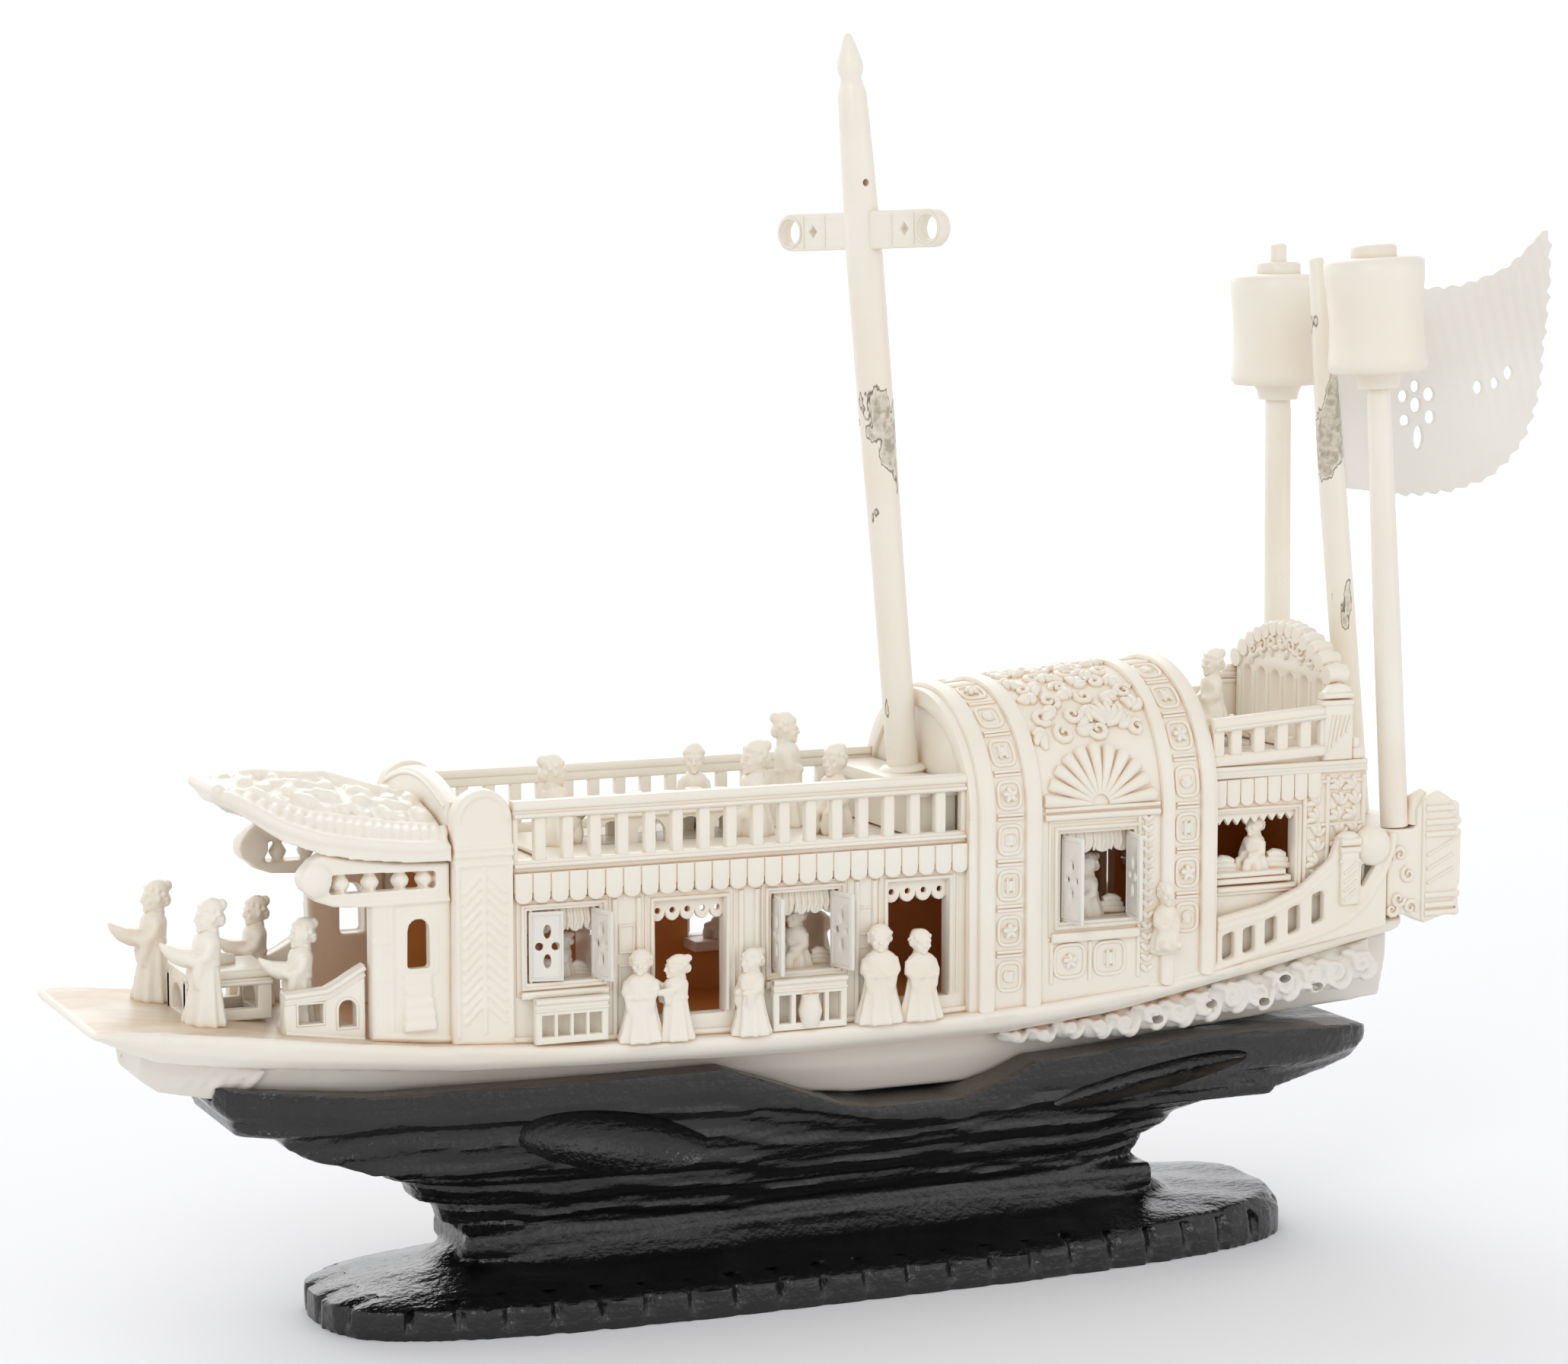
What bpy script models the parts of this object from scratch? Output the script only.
"""Carved model of a Chinese junk on a black lacquered wooden stand.

Pieces are modelled in millimetres and brought to metres as they are finished. Stations (x) run
along the boat from amidships, bow negative; y is to starboard, so the port side is negative; z is
up from the table. The origin is the centre of the stand's foot, FOOT_CENTRE aft of amidships.
"""
import math

import bmesh
import bpy
from mathutils import Matrix, Vector

MM = 0.001
GAP = 0.3                 # clearance between pieces that touch
FOOT_CENTRE = 17.0        # station of the foot's centre

# Stand
FOOT_HALF_LENGTH = 107.5
FOOT_HALF_WIDTH = 30.0
FOOT_EDGE = 5.6           # height of the foot plate's edge
WAIST_Z = 14.6
TRAY_BASE_Z = 33.0
TRAY_HALF_WIDTH = 25.0
TRAY_MIDDLE, TRAY_HALF_LENGTH = 14.2, 129.9
RIM = [(-115, 52.6), (-102, 51.2), (-84, 49.4), (-36, 49.0), (-12, 49.0), (1, 44.4), (13, 39.8),
       (22, 38.4), (39, 38.4), (50, 41.7), (57, 44.8), (75, 45.6), (93, 46.7), (112, 46.4),
       (122, 45.8), (139, 44.6), (143.4, 43.0)]
LIP = [(-115, 50.8), (-111.8, 46.0), (-110.8, 43.6), (-104, 42.6), (-67, 42.6), (-36, 41.7),
       (2, 39.8), (22, 35.6), (39, 34.2), (75, 37.0), (127, 38.6), (138, 39.8), (143.4, 42.0)]
TRAY_BASE = [(-115, 50.0), (-111.8, 45.2), (-110.5, 42.6), (-103, 41.6), (-100.7, 39.2),
             (-95, 36.6), (-84, TRAY_BASE_Z), (118, TRAY_BASE_Z), (132, 35.2), (140, 37.8),
             (143.4, 41.0)]

# Hull: half-beam, gunwale and lower edge by station
BEAM = [(-139, 24.0), (-134, 25.0), (-93, 26.5), (-40, 28.0), (60, 28.0), (110, 26.0), (146, 22.5)]
SHEER = [(-139, 66.6), (-134, 66.5), (-114, 64.3), (-93, 61.4), (-73, 59.0), (-43, 57.0), (-10, 56.2),
         (36, 56.2), (60, 57.2), (86, 59.2), (102, 61.7), (117, 64.0), (146, 68.5)]
TURN = [(-139, 65.0), (-133.5, 62.5), (-126, 59.2), (-113, 57.2), (-92, 55.2), (-66, 52.8), (-27, 51.6),
        (3, 50.6), (50, 51.0), (75, 53.1), (104, 57.8), (126, 61.3), (146, 64.4)]
KEEL_HALF_WIDTH = 18.0
KEEL_BOTTOM = [(-128, 57.0), (-126.7, 53.6), (-123, 50.9), (-111, 49.0), (-70, 46.5), (-20, 43.5),
               (20, 39.6), (45, 39.6), (70, 43.5), (100, 46.6), (146, 49.4)]
WAVE_DEPTH = [(50, 2.8), (65, 4.6), (85, 7.0), (105, 8.2), (139, 8.2)]

# Deckhouse
WALL_Y = 24.0             # outer face of the house walls
WALL = 3.5                # wall thickness
HOUSE = (-56.2, 40.6)     # first and last station of the deckhouse walls
HOUSE_TOP = 88.0
UPPER_DECK = (88.3, 91.2)
TILE_PROUD = 1.2
WINDOW_A = (-53.5, -38.5, 69.3, 83.6)
WINDOW_C = (-2.0, 12.6, 67.5, 83.5)
WINDOW_E = (61.5, 78.5, 73.5, 91.8)
WINDOW_F = (99.8, 119.0, 77.0, 93.0)
DOOR_B = (-27.0, -12.0, 60.5, 83.6)
DOOR_D = (23.5, 37.0, 60.0, 84.0)
RAIL_TOP = 105.2

# Barrel cabin
ARCH = (41.0, 98.0)
ARCH_HALF_WIDTH = 26.0
ARCH_SPRING = 96.0
BAND_STATIONS = [(42.6, 46.4), (53.2, 57.0), (84.6, 87.8), (94.0, 97.4)]
BAND_PROUD = 1.0

# Stern house and gallery
STERN = (98.4, 136.0)
STERN_Y = 22.5
STERN_TOP = 100.4
POOP_Z = 87.5

# Shutters
LEAF = 0.9                # leaf thickness
PIN_RADIUS = 0.35
SOCKET_RADIUS = 0.5
PIN_LENGTH = 0.6
PIN_INSET = 0.95          # pin axis from the jamb
PIN_DEPTH = 0.7           # pin axis behind the wall's outer face

# Spars
MAST_FOOT = (38.0, 0, 103.3)
MAST_HEAD = (25.0, 0, 254.0)
YARD_HEIGHT = 214.4
YARD_HALF_LENGTH = 22.8
YARD_HALF_HEIGHT = 3.9
YARD_THICK = 3.0
YARD_TURN = -67.0         # degrees from the boat's length
YARD_TILT = 1.6

IVORY = ((0.86, 0.77, 0.62), 0.35)
WHITE_IVORY = ((0.90, 0.86, 0.78), 0.40)
GREY_IVORY = ((0.72, 0.66, 0.56), 0.45)
BLACK_LACQUER = ((0.012, 0.011, 0.011), 0.22)

for old in list(bpy.data.objects):
    bpy.data.objects.remove(old, do_unlink=True)

PARTS = bpy.data.collections.new("chinese_junk")
bpy.context.scene.collection.children.link(PARTS)


def at(x, y, z):
    """A point given by station, offset and height, from the origin."""
    return Vector((x - FOOT_CENTRE, y, z))


def level(table, x):
    """The value that a table of (station, value) gives at station x, by straight lines."""
    if x <= table[0][0]:
        return table[0][1]
    for (x0, v0), (x1, v1) in zip(table, table[1:]):
        if x <= x1:
            return v0 + (v1 - v0) * (x - x0) / (x1 - x0)
    return table[-1][1]


def spread(low, high, count):
    """Evenly spaced values from low to high."""
    return [low + (high - low) * i / (count - 1) for i in range(count)]


def add_object(name, mesh):
    obj = bpy.data.objects.new(name, mesh)
    PARTS.objects.link(obj)
    return obj


def from_bmesh(name, bm):
    """An object from a bmesh, with its faces pointing out."""
    bmesh.ops.remove_doubles(bm, verts=bm.verts, dist=1e-4)
    bmesh.ops.recalc_face_normals(bm, faces=bm.faces)
    mesh = bpy.data.meshes.new(name)
    bm.to_mesh(mesh)
    bm.free()
    return add_object(name, mesh)


def finish(obj, paint):
    """Bring the object to metres, give it a material of its own and smooth its round faces."""
    colour, roughness = paint
    material = bpy.data.materials.new(obj.name)
    material.use_nodes = True
    shader = material.node_tree.nodes["Principled BSDF"]
    shader.inputs["Base Color"].default_value = (*colour, 1.0)
    shader.inputs["Roughness"].default_value = roughness
    obj.data.materials.clear()
    obj.data.materials.append(material)
    obj.data.transform(Matrix.Scale(MM, 4))
    obj.data.shade_smooth()
    obj.data.set_sharp_from_angle(angle=math.radians(35))
    return obj


def baked(obj):
    """Replace the object's mesh with what its modifiers make of it."""
    graph = bpy.context.evaluated_depsgraph_get()
    mesh = bpy.data.meshes.new_from_object(obj.evaluated_get(graph))
    mesh.transform(obj.matrix_world)
    obj.modifiers.clear()
    obj.matrix_world = Matrix.Identity(4)
    old = obj.data
    obj.data = mesh
    bpy.data.meshes.remove(old)
    return obj


def block(name, low, high):
    """A box between two corners given by station, offset and height."""
    bm = bmesh.new()
    bmesh.ops.create_cube(bm, size=1.0)
    a, b = at(*low), at(*high)
    size = b - a
    bmesh.ops.scale(bm, vec=size, verts=bm.verts)
    bmesh.ops.translate(bm, vec=(a + b) / 2, verts=bm.verts)
    return from_bmesh(name, bm)


PLANES = {
    "side": lambda u, v, w: at(u, w, v),      # outline in station and height, drawn across
    "section": lambda u, v, w: at(w, u, v),   # outline in offset and height, drawn along
}


def panel(name, outline, plane, low, high, holes=()):
    """A flat outline with holes, cut from a board that runs from low to high."""
    curve = bpy.data.curves.new(name, "CURVE")
    curve.dimensions = "2D"
    curve.fill_mode = "BOTH"
    curve.extrude = 0.5
    for loop in [outline, *holes]:
        spline = curve.splines.new("POLY")
        spline.points.add(len(loop) - 1)
        for point, (u, v) in zip(spline.points, loop):
            point.co = (u, v, 0, 1)
        spline.use_cyclic_u = True
    flat = add_object(name, curve)
    bpy.context.view_layer.update()
    graph = bpy.context.evaluated_depsgraph_get()
    mesh = bpy.data.meshes.new_from_object(flat.evaluated_get(graph))
    bpy.data.objects.remove(flat)
    for vertex in mesh.vertices:
        u, v, w = vertex.co
        vertex.co = PLANES[plane](u, v, low + (high - low) * (w + 0.5))
    bm = bmesh.new()
    bm.from_mesh(mesh)
    bpy.data.meshes.remove(mesh)
    return from_bmesh(name, bm)


def loft(name, rings):
    """A skin over rings of points, closed at both ends."""
    bm = bmesh.new()
    rows = [[bm.verts.new(point) for point in ring] for ring in rings]
    for row, following in zip(rows, rows[1:]):
        for i in range(len(row)):
            j = (i + 1) % len(row)
            bm.faces.new((row[i], row[j], following[j], following[i]))
    bm.faces.new(rows[0])
    bm.faces.new(rows[-1])
    return from_bmesh(name, bm)


def turned(name, profile, foot, head, sides=12):
    """A turned piece: (height, radius) pairs from foot to head, on the line between two points."""
    axis = at(*head) - at(*foot)
    bm = bmesh.new()
    points = [(0.0, profile[-1][0]), *[(r, h) for h, r in reversed(profile)], (0.0, profile[0][0])]
    verts = [bm.verts.new((r, 0, h)) for r, h in points]
    for a, b in zip(verts, verts[1:]):
        bm.edges.new((a, b))
    mesh = bpy.data.meshes.new(name)
    bm.to_mesh(mesh)
    bm.free()
    obj = add_object(name, mesh)
    screw = obj.modifiers.new("turn", "SCREW")
    screw.angle = math.tau
    screw.steps = sides
    screw.render_steps = sides
    screw.use_merge_vertices = True
    screw.merge_threshold = 1e-4
    turn = axis.to_track_quat("Z", "Y").to_matrix().to_4x4()
    obj.matrix_world = Matrix.Translation(at(*foot)) @ turn
    bpy.context.view_layer.update()
    baked(obj)
    bm = bmesh.new()
    bm.from_mesh(obj.data)
    bmesh.ops.remove_doubles(bm, verts=bm.verts, dist=1e-4)
    bmesh.ops.recalc_face_normals(bm, faces=bm.faces)
    bm.to_mesh(obj.data)
    bm.free()
    return obj


def boolean(obj, other, operation):
    tool = obj.modifiers.new(operation.lower(), "BOOLEAN")
    tool.operation = operation
    tool.solver = "EXACT"
    tool.object = other
    bpy.context.view_layer.update()
    baked(obj)
    bpy.data.objects.remove(other, do_unlink=True)
    return obj


def joined(name, pieces):
    """Overlapping pieces as one closed solid."""
    whole = pieces[0]
    for piece in pieces[1:]:
        boolean(whole, piece, "UNION")
    whole.name = name
    whole.data.name = name
    return whole


def carved(obj, cutters):
    for cutter in cutters:
        boolean(obj, cutter, "DIFFERENCE")
    return obj


def box_outline(x0, x1, z0, z1):
    return [(x0, z0), (x1, z0), (x1, z1), (x0, z1)]


def arched_outline(x0, x1, z0, z1, steps=6):
    """An opening with straight jambs and a round head."""
    radius = (x1 - x0) / 2
    middle = (x0 + x1) / 2
    head = [(middle + radius * math.cos(a), z1 - radius + radius * math.sin(a))
            for a in spread(0, math.pi, steps + 1)]
    return [(x0, z0), (x1, z0), *head]


def sided(side):
    """The name of a side: -1 is port, 1 is starboard."""
    return "port" if side < 0 else "starboard"


def oval_ring(x0, x1, half_width, height, power=3.2, count=44):
    """A ring in plan between a superellipse and a rectangle."""
    centre = (x0 + x1) / 2
    half = (x1 - x0) / 2
    ring = []
    for i in range(count):
        angle = math.tau * (i + 0.5) / count
        c, s = math.cos(angle), math.sin(angle)
        x = centre + half * math.copysign(abs(c) ** (2 / power), c)
        y = half_width * math.copysign(abs(s) ** (2 / power), s)
        ring.append(at(x, y, height(x) if callable(height) else height))
    return ring


# Stand

def stand_foot():
    x0, x1 = FOOT_CENTRE - FOOT_HALF_LENGTH, FOOT_CENTRE + FOOT_HALF_LENGTH
    rings = [oval_ring(x0, x1, FOOT_HALF_WIDTH, 0.0),
             oval_ring(x0, x1, FOOT_HALF_WIDTH, FOOT_EDGE),
             oval_ring(x0 + 3, x1 - 3, FOOT_HALF_WIDTH - 2, lambda x: 6.6 + max(0, x - 60) * 0.05),
             oval_ring(-68, 100, 14.5, 10.0),
             oval_ring(-60, 93, 10.6, WAIST_Z)]
    return finish(loft("stand_foot", rings), BLACK_LACQUER)


def stand_stem():
    steps = [(WAIST_Z + GAP, -59.5, 92.5, 10.6), (17.6, -59.5, 91, 11.4), (17.8, -65, 91, 12.6),
             (23.0, -66, 95, 15.5), (23.2, -71, 96, 17), (28.2, -73, 104, 19.5), (28.4, -77, 106, 20.5),
             (TRAY_BASE_Z - GAP, -83, 118, 22.0)]
    rings = [oval_ring(x0, x1, w, z) for z, x0, x1, w in steps]
    return finish(loft("stand_stem", rings), BLACK_LACQUER)


def hull_ring(x, half_width, bottom_half, top, bottom):
    """Section of the lower hull: flat top, round bilge."""
    depth = top - bottom
    return [at(x, half_width, top), at(x, half_width - 0.6, top - 0.45 * depth),
            at(x, bottom_half, bottom), at(x, -bottom_half, bottom),
            at(x, -half_width + 0.6, top - 0.45 * depth), at(x, -half_width, top)]


def keel_body(name, grow=0.0):
    """The lower hull; grow makes the same body larger, for the hollow that it lies in."""
    rings = []
    for x in sorted({x for table in (TURN, KEEL_BOTTOM) for x, value in table if -128 < x < 147}):
        run = min(1.0, (x + 139) / 34)
        half = (KEEL_HALF_WIDTH + 2) * min(1.0, 0.45 + 0.55 * run) - 2 * max(0, x - 104) / 42
        bottom = level(KEEL_BOTTOM, x) - grow
        top = level(TURN, x) - GAP + grow
        rings.append(hull_ring(x, half - 2 + grow, max(3, half - 5) + grow, top, bottom))
    return loft(name, rings)


def tray_half(x, half_width=TRAY_HALF_WIDTH, power=5):
    """Half-width of the tray in plan: a long rounded rectangle."""
    share = min(1.0, abs(x - TRAY_MIDDLE) / TRAY_HALF_LENGTH)
    return half_width * (1 - share ** power) ** (1 / power)


def stand_tray():
    """Flared top of the stand: a lip over a lower layer, with the hull's hollow in it."""
    rings = []
    for x in sorted({x for table in (RIM, LIP, TRAY_BASE) for x, value in table}):
        w, top, lip, base = tray_half(x), level(RIM, x), level(LIP, x), level(TRAY_BASE, x)
        port = [(w, top), (w, lip), (w - 1.4, lip - 0.3), (w - 3.0, base)]
        rings.append([at(x, y, z) for y, z in port] + [at(x, -y, z) for y, z in reversed(port)])
    tray = loft("stand_tray", rings)
    carved(tray, [keel_body("hollow", GAP)])
    return finish(tray, BLACK_LACQUER)


# Hull

def hull_upper():
    rings = []
    for x in sorted({x for table in (BEAM, SHEER, TURN) for x, value in table}):
        b = level(BEAM, x)
        top, turn = level(SHEER, x), level(TURN, x)
        rings.append([at(x, b - 0.8, top), at(x, b, top - 0.8), at(x, b - 1.4, (top + turn) / 2 - 0.8),
                      at(x, b - 4.5, turn), at(x, -b + 4.5, turn), at(x, -b + 1.4, (top + turn) / 2 - 0.8),
                      at(x, -b, top - 0.8), at(x, -b + 0.8, top)])
    return finish(loft("hull_upper", rings), IVORY)


def wave_carving(side):
    """Cloud and wave scrolls in a row under the stern flank of the upper hull."""
    y0, y1 = side * (KEEL_HALF_WIDTH + 0.4), side * (KEEL_HALF_WIDTH + 4.0)
    upper = [(x, level(TURN, x) - GAP) for x in spread(50, 139, 10)]
    lower = []
    for i, x in enumerate(spread(139, 50, 19)):
        lower.append((x, level(TURN, x) - level(WAVE_DEPTH, x) + (0 if i % 2 else 1.4)))
    board = panel("wave_carving_" + sided(side), upper + lower, "side", min(y0, y1), max(y0, y1))
    return finish(board, WHITE_IVORY)


def deck_line(x0, x1, rise=GAP):
    """The deck between two stations, as the lower edge of what stands on it."""
    inner = [x for x, z in SHEER if x0 < x < x1]
    return [(x, level(SHEER, x) + rise) for x in [x0, *inner, x1]]


def standing_panel(name, x0, x1, top, y_out, thick, holes=(), top_aft=None):
    """A wall that stands on the deck, from its outer face inwards."""
    outline = deck_line(x0, x1) + [(x1, top if top_aft is None else top_aft), (x0, top)]
    y_in = y_out - math.copysign(thick, y_out)
    return panel(name, outline, "side", min(y_out, y_in), max(y_out, y_in), holes)


def sockets(window, y_out):
    """Cutters for the pin holes of a window's two leaves."""
    x0, x1, z0, z1 = window
    y = y_out - math.copysign(PIN_DEPTH, y_out)
    cutters = []
    for x in (x0 + PIN_INSET, x1 - PIN_INSET):
        for z in (z0, z1):
            reach = PIN_LENGTH + 0.3
            cutters.append(turned("socket", [(0, SOCKET_RADIUS), (2 * reach, SOCKET_RADIUS)],
                                  (x, y, z - reach), (x, y, z + reach), sides=8))
    return cutters


def valance(window, y_out, count):
    """Scalloped board hanging inside the head of an opening, one lobe beside the next."""
    x0, x1, z1 = window[0] - 0.4, window[1] + 0.4, window[3]
    lobe = (x1 - x0) / count
    lower = []
    for i in range(count):
        for a in spread(math.pi, 0, 5)[:-1]:
            x = x0 + lobe * (i + 0.5 + 0.5 * math.cos(a))
            sag = 0.3 * math.sin(math.pi * (x - x0) / (x1 - x0))
            lower.append((x, z1 - 1.6 - sag - 1.2 * math.sin(a)))
    outline = [(x0, z1 + 0.5), *lower, (x1, z1 - 1.6), (x1, z1 + 0.5)]
    y_in = y_out - math.copysign(2.4, y_out)
    y_mid = y_out - math.copysign(1.2, y_out)
    return panel("valance", outline, "side", min(y_mid, y_in), max(y_mid, y_in))


def house_wall(side):
    y = side * WALL_Y
    holes = [box_outline(*w) for w in (WINDOW_A, WINDOW_C, DOOR_B, DOOR_D)]
    wall = standing_panel("house_wall_" + sided(side), *HOUSE, HOUSE_TOP, y, WALL, holes)
    ends = (HOUSE[0] + 0.1, HOUSE[1] - 0.1)
    y0, y1 = sorted((y - side * 0.5, y + side * TILE_PROUD))
    eave = panel("eave", box_outline(*ends, 84.9, HOUSE_TOP - 0.1), "side", y0, y1)
    joined(wall.name, [wall, eave, valance(DOOR_B, y, 5), valance(DOOR_D, y, 5)])
    carved(wall, sockets(WINDOW_A, y) + sockets(WINDOW_C, y))
    return finish(wall, IVORY)


def pilaster(side):
    """Tall post at the house's bow corner with a round head."""
    y_out, y_in = side * 25.0, side * 20.5
    foot = deck_line(-68.6, -56.6)
    head = [(-62.6 + 6 * math.cos(a), 103.5 + 4.5 * math.sin(a)) for a in spread(0, math.pi, 9)]
    post = panel("bow_pilaster_" + sided(side), [*foot, *head], "side", min(y_out, y_in),
                 max(y_out, y_in))
    return finish(post, IVORY)


def upper_deck():
    x0, x1 = -56.2, 40.6
    deck = block("deck", (x0, -WALL_Y - 0.6, UPPER_DECK[0]), (x1, WALL_Y + 0.6, UPPER_DECK[1]))
    front = block("front", (-68.6, -20.1, UPPER_DECK[0]), (x0 + 1, 20.1, UPPER_DECK[1]))
    return finish(joined("upper_deck", [deck, front]), IVORY)


def balustrade(side):
    """Upper deck rail: lower rail, upright bars and top rail in one."""
    x0, x1 = -56.2, 40.6
    y_out, y_in = side * (WALL_Y + 0.6), side * (WALL_Y - 2.2)
    y0, y1 = min(y_out, y_in), max(y_out, y_in)
    base = UPPER_DECK[1] + GAP
    count = 17
    pitch = (x1 - x0) / count
    holes = []
    for i in range(count):
        x = x0 + pitch * (i + 0.5)
        holes.append(box_outline(x - pitch * 0.27, x + pitch * 0.27, 93.6, 101.6))
    rail = panel("balustrade_" + sided(side), box_outline(x0, x1, base, RAIL_TOP), "side", y0, y1, holes)
    return finish(rail, IVORY)


def porch_wall(side):
    """Porch wall with an arched doorway, and over it a pierced band with a scroll at its bow end."""
    y = side * 23.0
    holes = [arched_outline(-77.9, -72.7, 73.6, 84.0)]
    wall = standing_panel("porch_wall_" + sided(side), -84.6, -68.9, 87.5, y, WALL, holes)
    y0, y1 = sorted((side * 23.2, side * 19.3))
    gaps = [box_outline(x, x + 4.2, 89.6, 93.0) for x in spread(-93, -73.4, 4)]
    scroll = [(-95.5 + 4.2 * math.cos(a), 92.4 + 4.2 * math.sin(a)) for a in spread(2.2, 4.3, 6)]
    outline = [*scroll, (-86, 86.9), (-68.9, 86.9), (-68.9, 94.0), (-80, 94.4), (-90, 95.8)]
    band = panel("band", outline, "side", y0, y1, gaps)
    return finish(joined(wall.name, [wall, band]), IVORY)


def canopy():
    """Upturned porch roof: a saddle that rises and narrows towards the bow."""
    stations = [(-111, 8, 107.5, 108.5, 1.5), (-107, 15, 104, 109, 3.0), (-101, 21, 99.5, 109, 3.4),
                (-94, 24.5, 97, 108.5, 3.4), (-86, 25, 95.6, 107.5, 3.2), (-77, 25, 94.6, 105, 3.2),
                (-69, 25, 94.4, 104, 3.2)]
    rings = []
    for x, half, edge, crown, thick in stations:
        upper = [at(x, half * t, edge + thick + (crown - edge - thick) * (1 - t * t)) for t in
                 spread(-1, 1, 9)]
        lower = [at(x, half * t, edge + (crown - edge - thick - 1.5) * (1 - t * t)) for t in
                 spread(1, -1, 9)]
        rings.append(upper + lower)
    return finish(loft("canopy_roof", rings), IVORY)


def crest_board():
    """Curved board across the boat where the canopy meets the upper deck."""
    outline = [(-20.0, 91.5)]
    for y in spread(-20.0, 20.0, 11):
        outline.append((y, 104.5 + 5.0 * math.cos(math.pi * y / 44)))
    outline.append((20.0, 91.5))
    return finish(panel("crest_board", outline, "section", -68.5, -65.0), IVORY)


# Barrel cabin

def arch_wall(side):
    y = side * ARCH_HALF_WIDTH
    name = "arch_wall_" + sided(side)
    wall = standing_panel(name, *ARCH, ARCH_SPRING - GAP, y, WALL, [box_outline(*WINDOW_E)])
    y_out = y + side * BAND_PROUD
    bands = []
    for x0, x1 in BAND_STATIONS:
        foot = [(x0, level(SHEER, x0) + 0.5), (x1, level(SHEER, x1) + 0.5)]
        top = ARCH_SPRING - GAP - 0.2
        bands.append(panel("band", [*foot, (x1, top), (x0, top)], "side",
                           min(y - side * 0.5, y_out), max(y - side * 0.5, y_out)))
    joined(name, [wall, *bands])
    carved(wall, sockets(WINDOW_E, y))
    return finish(wall, IVORY)


def arch_crown(x):
    """Height of the barrel roof's top: it rises a little towards the stern."""
    return 120.0 + 4.0 * (x - ARCH[0]) / (ARCH[1] - ARCH[0])


def arch_ring(x, half_width, drop, sides=14):
    """Half ellipse over the cabin at one station."""
    rise = arch_crown(x) - ARCH_SPRING - drop
    return [(x, half_width * math.cos(a), ARCH_SPRING + rise * math.sin(a))
            for a in spread(math.pi, 0, sides + 1)]


def arch_roof():
    """Barrel roof with its raised bands, skinned station by station."""
    steps = [(ARCH[0], 0.0)]
    for x0, x1 in BAND_STATIONS:
        steps += [(x0, 0.0), (x0, BAND_PROUD), (x1, BAND_PROUD), (x1, 0.0)]
    steps.append((ARCH[1], 0.0))
    rings = []
    for x, proud in steps:
        outer = [at(*p) for p in arch_ring(x, ARCH_HALF_WIDTH + proud, -proud)]
        inside = [at(*p) for p in reversed(arch_ring(x, ARCH_HALF_WIDTH - WALL, WALL))]
        rings.append(outer + inside)
    return finish(loft("arch_roof", rings), IVORY)


def arch_end(name, x0, x1, sill):
    """End panel that fills the barrel above a deck."""
    inset = WALL + GAP
    outline = []
    for p in arch_ring(x0, ARCH_HALF_WIDTH - inset, inset):
        if p[2] > sill:
            outline.append((p[1], p[2]))
    first, last = outline[0][0], outline[-1][0]
    outline = [(first, sill), *outline, (last, sill)]
    return finish(panel(name, outline, "section", x0, x1), IVORY)


# Stern

def stern_wall(side):
    y = side * STERN_Y
    name = "stern_wall_" + sided(side)
    wall = standing_panel(name, *STERN, STERN_TOP, y, WALL, [box_outline(*WINDOW_F)])
    return finish(wall, IVORY)


def stern_back():
    """Rear wall of the stern house."""
    foot = level(SHEER, STERN[1]) + 0.6
    wall = block("stern_back_wall", (STERN[1] - 3.2, -STERN_Y + WALL + GAP, foot),
                 (STERN[1], STERN_Y - WALL - GAP, STERN_TOP))
    return finish(wall, IVORY)


def stern_deck():
    deck = block("stern_deck", (STERN[0], -STERN_Y - 0.8, STERN_TOP + GAP),
                 (STERN[1] - 0.2, STERN_Y + 0.8, STERN_TOP + 2.6))
    return finish(deck, IVORY)


def stern_balustrade(side):
    y0, y1 = sorted((side * (STERN_Y + 0.8), side * (STERN_Y - 2.0)))
    base = STERN_TOP + 2.6 + GAP
    holes = [box_outline(x, x + 3.4, 105.6, 111.0) for x in spread(100.6, 118.0, 4)]
    outline = [(STERN[0], base), (132.4, base), (132.4, 119.5), (126.0, 119.5), (124.0, 116.2),
               (STERN[0], 113.4)]
    return finish(panel("stern_balustrade_" + sided(side), outline, "side", y0, y1, holes), IVORY)


def stern_gable():
    """Slatted board across the stern deck with a curved top."""
    base = STERN_TOP + 2.6 + GAP
    top = [(y, 119.5 + 11.5 * math.cos(math.pi * y / 44) ** 0.7) for y in spread(-20, 20, 13)]
    outline = [(-20.2, base), *top, (20.2, base)]
    holes = [box_outline(y - 1.6, y + 1.6, 105.6, 119.0) for y in spread(-15, 15, 6)]
    return finish(panel("stern_gable", outline, "section", 128.4, 132.0, holes), IVORY)


def stern_block():
    """Solid stern behind the house that the poles stand in, with a ridged block at each quarter."""
    x0, x1 = STERN[1] + GAP, 146.5
    outline = [(x0, level(SHEER, x0) + GAP), (x1, level(SHEER, x1) + GAP), (x1 + 8, 76), (x1 + 8, 84),
               (x1 + 7.4, POOP_Z), (x0, POOP_Z)]
    pieces = [panel("stern_block", outline, "side", -19.2, 19.2)]
    ridged = [(140.5, 69.0), (146, 68.9), (150, 66.8), (158.6, 69.4), (158.6, 71.4), (157.6, 72.4),
              (158.8, 75.0), (158.8, 86.0), (157.6, 88.0), (158.6, 90.0), (157.0, 93.0), (153.0, 95.5),
              (149.6, 94.0), (147.8, 91.5), (147.8, POOP_Z), (140.5, POOP_Z)]
    for side in (-1, 1):
        y0, y1 = sorted((side * 18.9, side * 24.5))
        pieces.append(panel("quarter", ridged, "side", y0, y1))
    return finish(joined("stern_block", pieces), IVORY)


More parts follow.
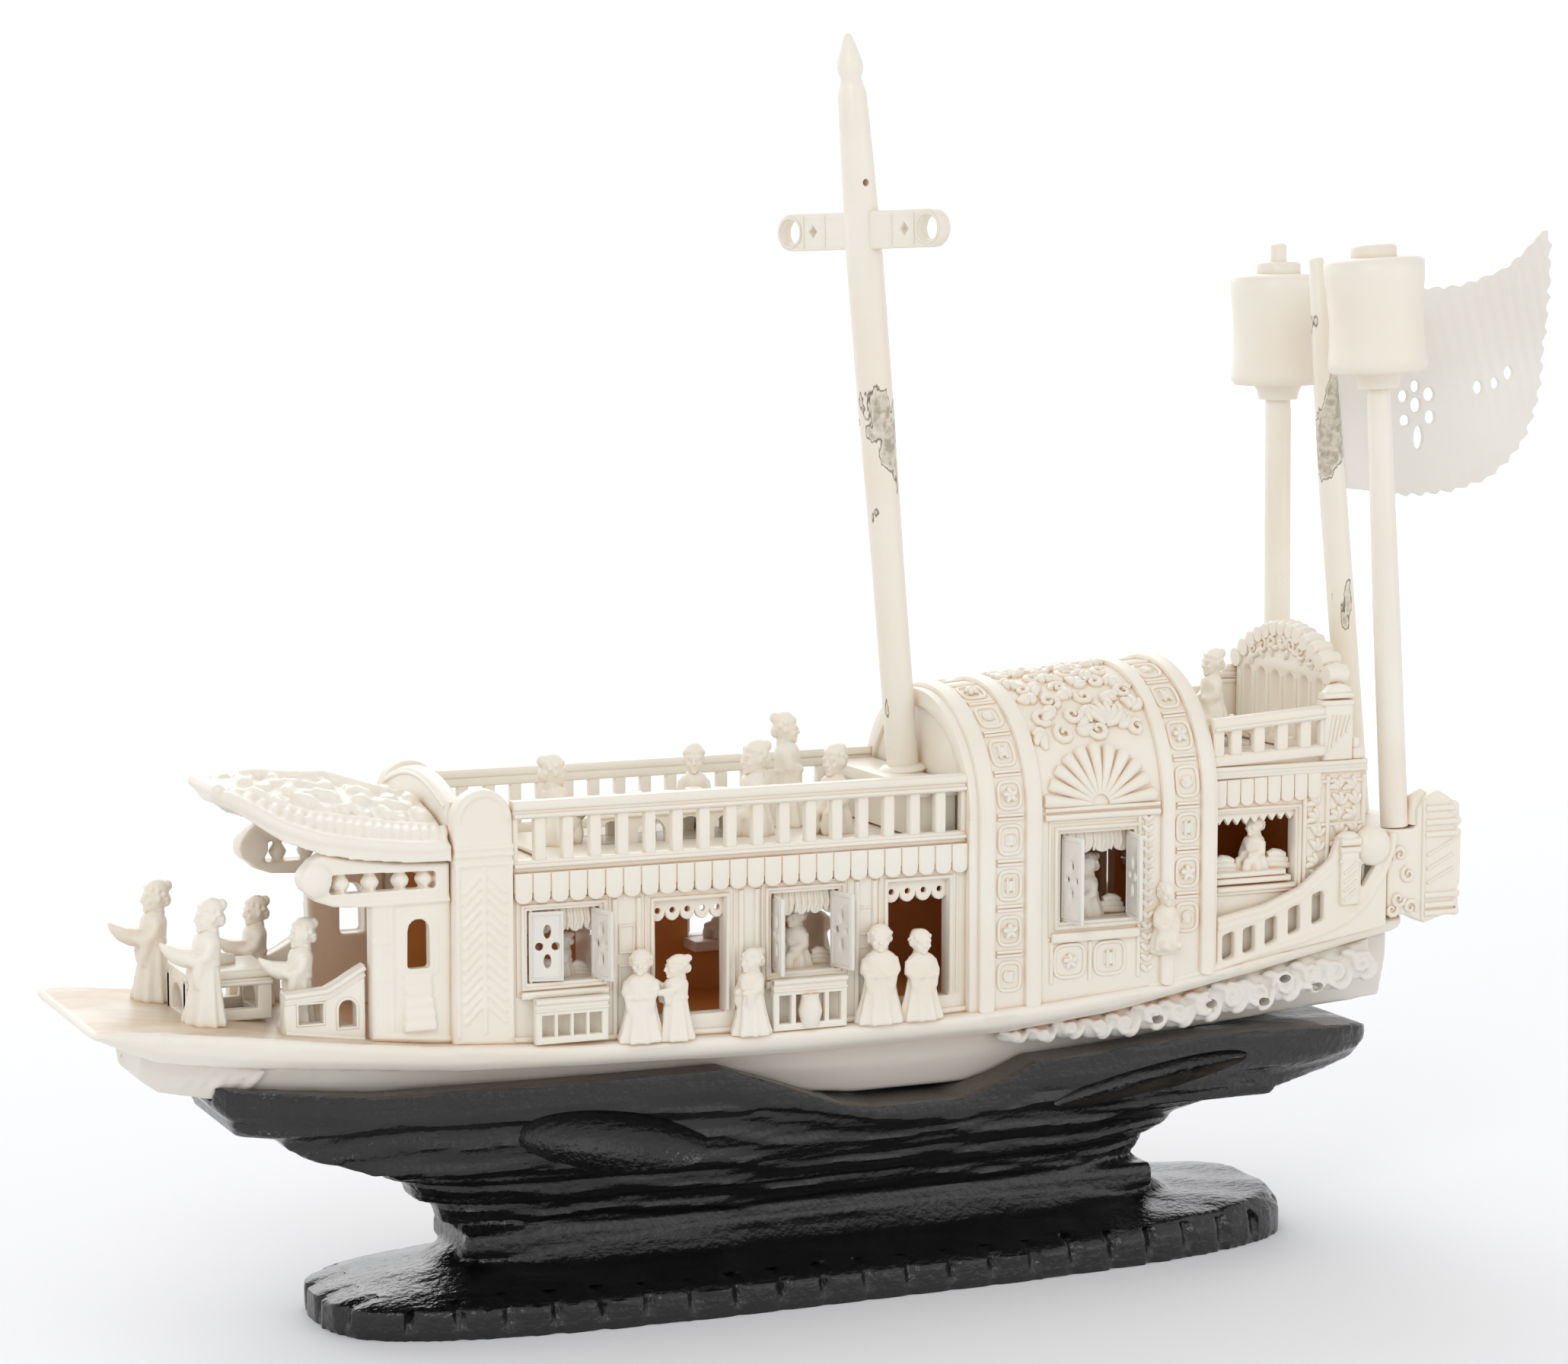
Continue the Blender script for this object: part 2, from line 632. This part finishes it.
GALLERY_TOP = [(98.6, 71.6), (109.9, 73.6), (118.6, 76.8), (125.9, 82.2), (128.0, 87.2),
               (132.3, 87.4), (133.2, 86.6), (136.2, 88.7), (139.8, 86.4)]
GALLERY_GAPS = [(100.0, 62.4, 67.8), (104.9, 63.4, 68.8), (110.2, 65.0, 70.4), (115.8, 66.8, 72.4),
                (121.5, 68.6, 75.0)]
GALLERY_GAP_WIDTH = 2.8


def gallery_rail(side):
    """Side rail of the stern gallery over the swept bulwark, with its post and ball."""
    y0, y1 = sorted((side * 25.6, side * 23.5))
    foot = [(x, level(SHEER, x) + GAP) for x in (98.6, 110, 120, 130, 139.8)]
    holes = []
    for x, low, high in GALLERY_GAPS:
        far = x + GALLERY_GAP_WIDTH
        holes.append([(x, low), (far, low + 0.9), (far, high + 0.9), (x, high)])
    holes.append([(133.4, 75.0), (135.2, 77.6), (137.2, 80.6), (133.6, 80.9)])
    outline = foot + GALLERY_TOP[::-1]
    return finish(panel("gallery_rail_" + sided(side), outline, "side", y0, y1, holes), IVORY)


# Spars, lanterns, flag

def on_mast(z):
    share = (z - MAST_FOOT[2]) / (MAST_HEAD[2] - MAST_FOOT[2])
    return MAST_FOOT[0] + share * (MAST_HEAD[0] - MAST_FOOT[0])


def on_yard(obj):
    """Bring a piece drawn about the yard's centre to its place on the mast."""
    turn = Matrix.Rotation(math.radians(YARD_TURN), 4, "Z")
    tilt = Matrix.Rotation(math.radians(-YARD_TILT), 4, "Y")
    place = Matrix.Translation(at(on_mast(YARD_HEIGHT), 0, YARD_HEIGHT)) @ turn @ tilt
    obj.data.transform(place @ Matrix.Translation(-at(0, 0, 0)))
    return obj


def mast():
    """Tapered pole with a carved finial and a slot that the yard goes through."""
    length = (at(*MAST_HEAD) - at(*MAST_FOOT)).length
    profile = [(0, 3.3), (length * 0.28, 3.4), (length * 0.5, 3.75), (length * 0.71, 3.85),
               (length - 12, 3.0), (length - 9, 2.2), (length - 8, 2.7), (length - 6, 2.7),
               (length - 4, 2.2), (length, 0.7)]
    pole = turned("mast", profile, MAST_FOOT, MAST_HEAD)
    half_y, half_z = YARD_THICK / 2 + GAP, YARD_HALF_HEIGHT + GAP
    slot = on_yard(block("slot", (-8, -half_y, -half_z), (8, half_y, half_z)))
    return finish(carved(pole, [slot]), IVORY)


def mast_step():
    x, y, z = MAST_FOOT
    legs = block("leg", (x - 5, -20, UPPER_DECK[1] + GAP), (x + 2.4, 20, z - 2.6))
    plate = block("plate", (x - 7.5, -21.2, z - 2.8), (x + 2.6, 21.2, z - GAP))
    return finish(joined("mast_step", [legs, plate]), IVORY)


def yard():
    """Pierced board with a ring at each end, set through the mast."""
    half, radius = YARD_HALF_LENGTH, YARD_HALF_HEIGHT
    ends = []
    for sign, start in ((1, -math.pi / 2), (-1, math.pi / 2)):
        for a in spread(start, start + math.pi, 8):
            ends.append((sign * (half - radius) + radius * math.cos(a), radius * math.sin(a)))
    rings = []
    for sign in (1, -1):
        centre = sign * (half - radius)
        rings.append([(centre + 2.4 * math.cos(a), 2.4 * math.sin(a)) for a in
                      spread(0, math.tau * 7 / 8, 8)])
    board = panel("yard", ends, "side", -YARD_THICK / 2, YARD_THICK / 2, rings)
    return finish(on_yard(board), IVORY)


LANTERN_PROFILE = [(0, 4.3), (3.2, 4.5), (3.4, 10.0), (4.4, 10.7), (9, 10.1), (14, 9.9), (20, 10.2),
                   (24, 10.7), (27.2, 10.6), (27.6, 4.8), (30.1, 4.8), (30.3, 3.2)]
LANTERN_BORE = 3.15


def lantern(side, pole_foot, pole_head, base, radii):
    """Pole and drum lantern, the drum sitting over the pole's head; radii are foot, collar, tip."""
    length = (at(*pole_head) - at(*pole_foot)).length
    share = (base - pole_foot[2]) / (pole_head[2] - pole_foot[2])
    neck = length * share
    profile = [(0, radii[0]), (neck, radii[1]), (neck + 27, radii[1]), (neck + 28, radii[2]),
               (length, radii[2])]
    pole = turned("lantern_pole_" + sided(side), profile, pole_foot, pole_head, 10)
    finish(pole, IVORY)
    seat = [f + share * (h - f) for f, h in zip(pole_foot, pole_head)]
    top = [s + (h - f) for s, f, h in zip(seat, pole_foot, pole_head)]
    drum = turned("lantern_" + sided(side), LANTERN_PROFILE, seat, top, 16)
    hole = turned("bore", [(-2, LANTERN_BORE), (length, LANTERN_BORE)], seat, top, 10)
    carved(drum, [hole])
    return finish(drum, IVORY)


FLAGPOLE_FOOT = (147.6, 0, POOP_Z + GAP)
FLAGPOLE_HEAD = (135.3, 0, 208.5)


def flagpole():
    length = (at(*FLAGPOLE_HEAD) - at(*FLAGPOLE_FOOT)).length
    profile = [(0, 2.9), (length * 0.57, 3.0), (length * 0.76, 2.55), (length, 1.6)]
    pole = turned("flagpole", profile, FLAGPOLE_FOOT, FLAGPOLE_HEAD, 10)
    return finish(pole, IVORY)


FLAG_TOP = [(138.0, 204.0), (150, 200.8), (164, 201.9), (173.1, 202.5), (177.8, 203.6),
            (184.6, 206.2), (188.6, 209.4), (192.0, 213.2), (194.3, 215.4)]
FLAG_FREE = [(194.6, 212.0), (194.7, 206.0), (194.3, 197.0), (193.4, 188.0), (193.0, 181.0),
             (191.9, 175.2), (189.7, 168.8), (186.3, 164.2), (181.5, 160.0), (173.4, 157.6),
             (165.0, 156.9), (155.2, 157.2)]
FLAG_HOLES = [(163.2, 176.3, 1.3, 1.6), (159.8, 178.3, 1.2, 1.4), (163.0, 180.4, 1.1, 1.3),
              (166.6, 178.6, 1.3, 1.5), (167.0, 173.6, 1.2, 1.5), (160.4, 173.0, 1.3, 1.2),
              (164.0, 169.2, 1.1, 2.6), (178.7, 179.9, 1.0, 1.5), (182.7, 180.8, 0.8, 1.3),
              (185.8, 183.1, 0.9, 1.6)]


def along(path, count):
    """Evenly spaced points along a line of points."""
    steps = [math.dist(a, b) for a, b in zip(path, path[1:])]
    points = []
    for goal in spread(0, sum(steps) - 1e-6, count):
        i = 0
        while goal > steps[i]:
            goal -= steps[i]
            i += 1
        share = goal / steps[i]
        points.append(tuple(a + share * (b - a) for a, b in zip(path[i], path[i + 1])))
    return points


def flag():
    """Thin curved flag with a toothed free edge and a pierced flower."""
    teeth = []
    for i, (x, z) in enumerate(along(FLAG_FREE, 41)):
        dx, dz = x - 160, z - 190
        out = (0.0, 1.0)[i % 2] / math.hypot(dx, dz)
        teeth.append((x + dx * out, z + dz * out))
    outline = [*FLAG_TOP, *teeth, (150.0, 157.9), (144.1, 158.6)]
    holes = []
    for x, z, rx, rz in FLAG_HOLES:
        holes.append([(x + rx * math.cos(a), z + rz * math.sin(a)) for a in
                      spread(0.2, 0.2 + math.tau * 5 / 6, 6)])
    sheet = panel("flag", outline, "side", -0.7, 0.7, holes)
    for vertex in sheet.data.vertices:
        x = vertex.co.x + FOOT_CENTRE
        vertex.co.y += 4.0 * math.sin(math.pi * (x - 139) / 56)
    return finish(sheet, WHITE_IVORY)


# Figures

def figure(x, y, foot, height, lean=0.0, tray=0.0, width=1.0):
    """Robed figure: hem, waist, shoulders, neck, head and hair in one turned form."""
    w = width * height / 24.0
    profile = [(0, 4.0 * w), (height * 0.34, 3.1 * w), (height * 0.55, 2.7 * w),
               (height * 0.66, 2.9 * w), (height * 0.73, 1.5 * w), (height * 0.78, 2.1 * w),
               (height * 0.88, 2.4 * w), (height * 0.96, 2.0 * w), (height, 1.0 * w)]
    body = turned("figure", profile, (x, y, foot), (x + lean, y, foot + height), 8)
    if not tray:
        return [body]
    low, rise = foot + height * 0.42, height * 0.02
    outline = [(x - 1, low), (x - tray * 0.55, low + rise * 4), (x - tray, low + rise * 10.5),
               (x - tray + 0.4, low + rise * 11.6), (x - tray * 0.55, low + rise * 8.5),
               (x - 1, low + rise * 8)]
    return [body, panel("tray", outline, "side", y - 1.7 * w, y + 1.7 * w)]


def on_deck(x, rise=1.0):
    return level(SHEER, x) + rise


def bow_group():
    """Table, benches and four figures on a thin plinth on the bow deck."""
    base = deck_line(-124, -86)
    plinth = panel("plinth", base + [(x, z + 0.8) for x, z in reversed(base)], "side", -21.0, 21.0)
    table = block("table", (-117, -8, on_deck(-114, 0.5)), (-100, 7, 73.2))
    table = carved(table, [block("gap", (-114.2, -9, on_deck(-114, 1.7)), (-102.8, 8, 70.4))])
    pieces = [plinth, table]
    for x, y, height, lean, tray in ((-118.8, 12, 24.4, 1.4, 9), (-114.9, -13, 25, 1.6, 9),
                                     (-98.5, 14, 22.4, -0.8, 0), (-96.8, -14, 22.6, 1.4, 9.4)):
        pieces += figure(x, y, on_deck(x, 0.9), height, lean, tray)
    seat = [(-101.4, on_deck(-101.4, 0.3)), (-93, on_deck(-93, 0.3)), (-85.4, on_deck(-85.4, 0.3)),
            (-85.4, 75.0), (-90.2, 72.4), (-93.0, 70.9), (-101.4, 70.4)]
    holes = [box_outline(-98.9, -93.6, 64.2, 68.4), arched_outline(-91.0, -87.0, 63.0, 68.8)]
    for side in (-1, 1):
        y0, y1 = sorted((side * 21.2, side * 17))
        pieces.append(panel("bench", seat, "side", y0, y1, holes))
    return finish(joined("bow_group", pieces), IVORY)


def side_group(side):
    """Figures and tables on the side deck, on a thin plinth against the house wall."""
    y0, y1 = sorted((side * (WALL_Y + TILE_PROUD + GAP), side * 27.4))
    base = deck_line(-54.5, 34.0)
    plinth = panel("plinth", base + [(x, z + 0.9) for x, z in reversed(base)], "side",
                   min(side * (WALL_Y + GAP), side * 27.4), max(side * (WALL_Y + GAP), side * 27.4))
    pieces = [plinth]
    y = side * (WALL_Y + 2.9)
    for x, height in ((-31.5, 20.5), (-24.4, 18.0), (-8.6, 20.0), (20.5, 22.5), (27.8, 19.5)):
        pieces += figure(x, y, on_deck(x, 0.7), height, 0, 0, 0.74)
    for x0, x1 in ((-53.0, -38.0), (-3.0, 13.0)):
        pieces.append(block("table", (x0, y0, on_deck(x0, 0.8)), (x1, y1, 66.6)))
    return finish(joined("side_figures_" + sided(side), pieces), IVORY)


def upper_group():
    """Figures and a table on the upper deck."""
    z = UPPER_DECK[1] + GAP
    plinth = block("plinth", (-46, -17, z), (24, 17, z + 0.9))
    pieces = [plinth, block("table", (-34, -6, z + 0.5), (2, 8, z + 9.0))]
    for x, y, height in ((-37, 0, 19.5), (4.6, -4, 20.5), (16, 4, 26.5), (-2, 12, 18), (21, -8, 19.5)):
        pieces += figure(x, y, z + 0.5, height)
    return finish(joined("upper_deck_figures", pieces), IVORY)


def stern_figure():
    z = STERN_TOP + 2.6 + GAP
    pieces = [block("bench", (105.5, -9, z), (119, 9, z + 6)), *figure(110.5, 0, z + 5.5, 17.5)]
    return finish(joined("stern_figure", pieces), IVORY)


# Shutters

def leaf(name, window, y_out, hand, angle):
    """One shutter leaf turned about its pins; hand is 1 at the bow jamb and -1 at the stern jamb."""
    x0, x1, z0, z1 = window
    side = math.copysign(1, y_out)
    axis_x = x0 + PIN_INSET if hand > 0 else x1 - PIN_INSET
    axis_y = y_out - side * PIN_DEPTH
    reach = (x1 - x0) / 2 - PIN_INSET - 0.15
    low, high = z0 + GAP, z1 - GAP
    middle_x, middle_z = reach * 0.5, (low + high) / 2
    petals = []
    for dx, dz, rx, rz in ((0, 2.9, 0.75, 1.4), (0, -2.9, 0.75, 1.4), (1.6, 0, 0.8, 0.8),
                           (-1.6, 0, 0.8, 0.8)):
        petals.append([(FOOT_CENTRE + middle_x + dx + rx * math.cos(a), middle_z + dz + rz * math.sin(a))
                       for a in spread(0.3 + 0.1 * dx, 0.3 + 0.1 * dx + math.tau * 5 / 6, 6)])
    outline = [(FOOT_CENTRE + u, v) for u, v in box_outline(-LEAF / 2, reach, low, high)]
    board = panel(name, outline, "side", -LEAF / 2, LEAF / 2, petals)
    pins = [turned("pin", [(0, PIN_RADIUS), (PIN_LENGTH + 0.4, PIN_RADIUS)],
                   (FOOT_CENTRE, 0, high - 0.1), (FOOT_CENTRE, 0, high + 9), 6),
            turned("pin", [(0, PIN_RADIUS), (PIN_LENGTH + 0.4, PIN_RADIUS)],
                   (FOOT_CENTRE, 0, low - PIN_LENGTH - 0.3), (FOOT_CENTRE, 0, low), 6)]
    board = joined(name, [board, *pins])
    swing = math.radians(angle) * side
    if hand < 0:
        swing = math.pi - swing
    finish(board, WHITE_IVORY)
    board.matrix_world = Matrix.Translation(at(axis_x, axis_y, 0) * MM) @ Matrix.Rotation(swing, 4, "Z")
    return board


# Rest angle of each leaf from closed: port bow leaf, port stern leaf, starboard bow, starboard stern
REST_ANGLES = {"A": (12, 103, 95, 60), "C": (98, 107, 100, 100), "E": (85, 82, 35, 90)}


def shutters():
    windows = {"A": (WINDOW_A, WALL_Y), "C": (WINDOW_C, WALL_Y), "E": (WINDOW_E, ARCH_HALF_WIDTH)}
    for key, (window, face) in windows.items():
        angles = REST_ANGLES[key]
        for s, side in enumerate((-1, 1)):
            for h, hand in enumerate((1, -1)):
                name = f"shutter_{key}_{sided(side)}_{'bow' if hand > 0 else 'stern'}"
                leaf(name, window, side * face, hand, angles[2 * s + h])


stand_foot()
stand_stem()
stand_tray()
finish(keel_body("hull_lower"), GREY_IVORY)
hull_upper()
for side in (-1, 1):
    wave_carving(side)
    house_wall(side)
    pilaster(side)
    balustrade(side)
    porch_wall(side)
    arch_wall(side)
    stern_wall(side)
    stern_balustrade(side)
    gallery_rail(side)
    side_group(side)
upper_deck()
canopy()
crest_board()
arch_roof()
arch_end("arch_bow_panel", ARCH[0] + 0.6, ARCH[0] + 3.6, UPPER_DECK[1] + 0.4)
arch_end("arch_stern_panel", ARCH[1] - 3.6, ARCH[1] - 0.6, STERN_TOP + 0.4)
stern_back()
stern_deck()
stern_gable()
stern_block()
mast_step()
mast()
yard()
lantern(-1, (144.2, -21.0, POOP_Z + GAP), (137.5, -19.4, 211.0), 181.3, (2.95, 2.4, 2.4))
lantern(1, (139.3, 20.0, POOP_Z + GAP), (137.8, 20.0, 211.4), 177.3, (2.95, 2.75, 1.8))
flagpole()
flag()
bow_group()
upper_group()
stern_figure()
shutters()
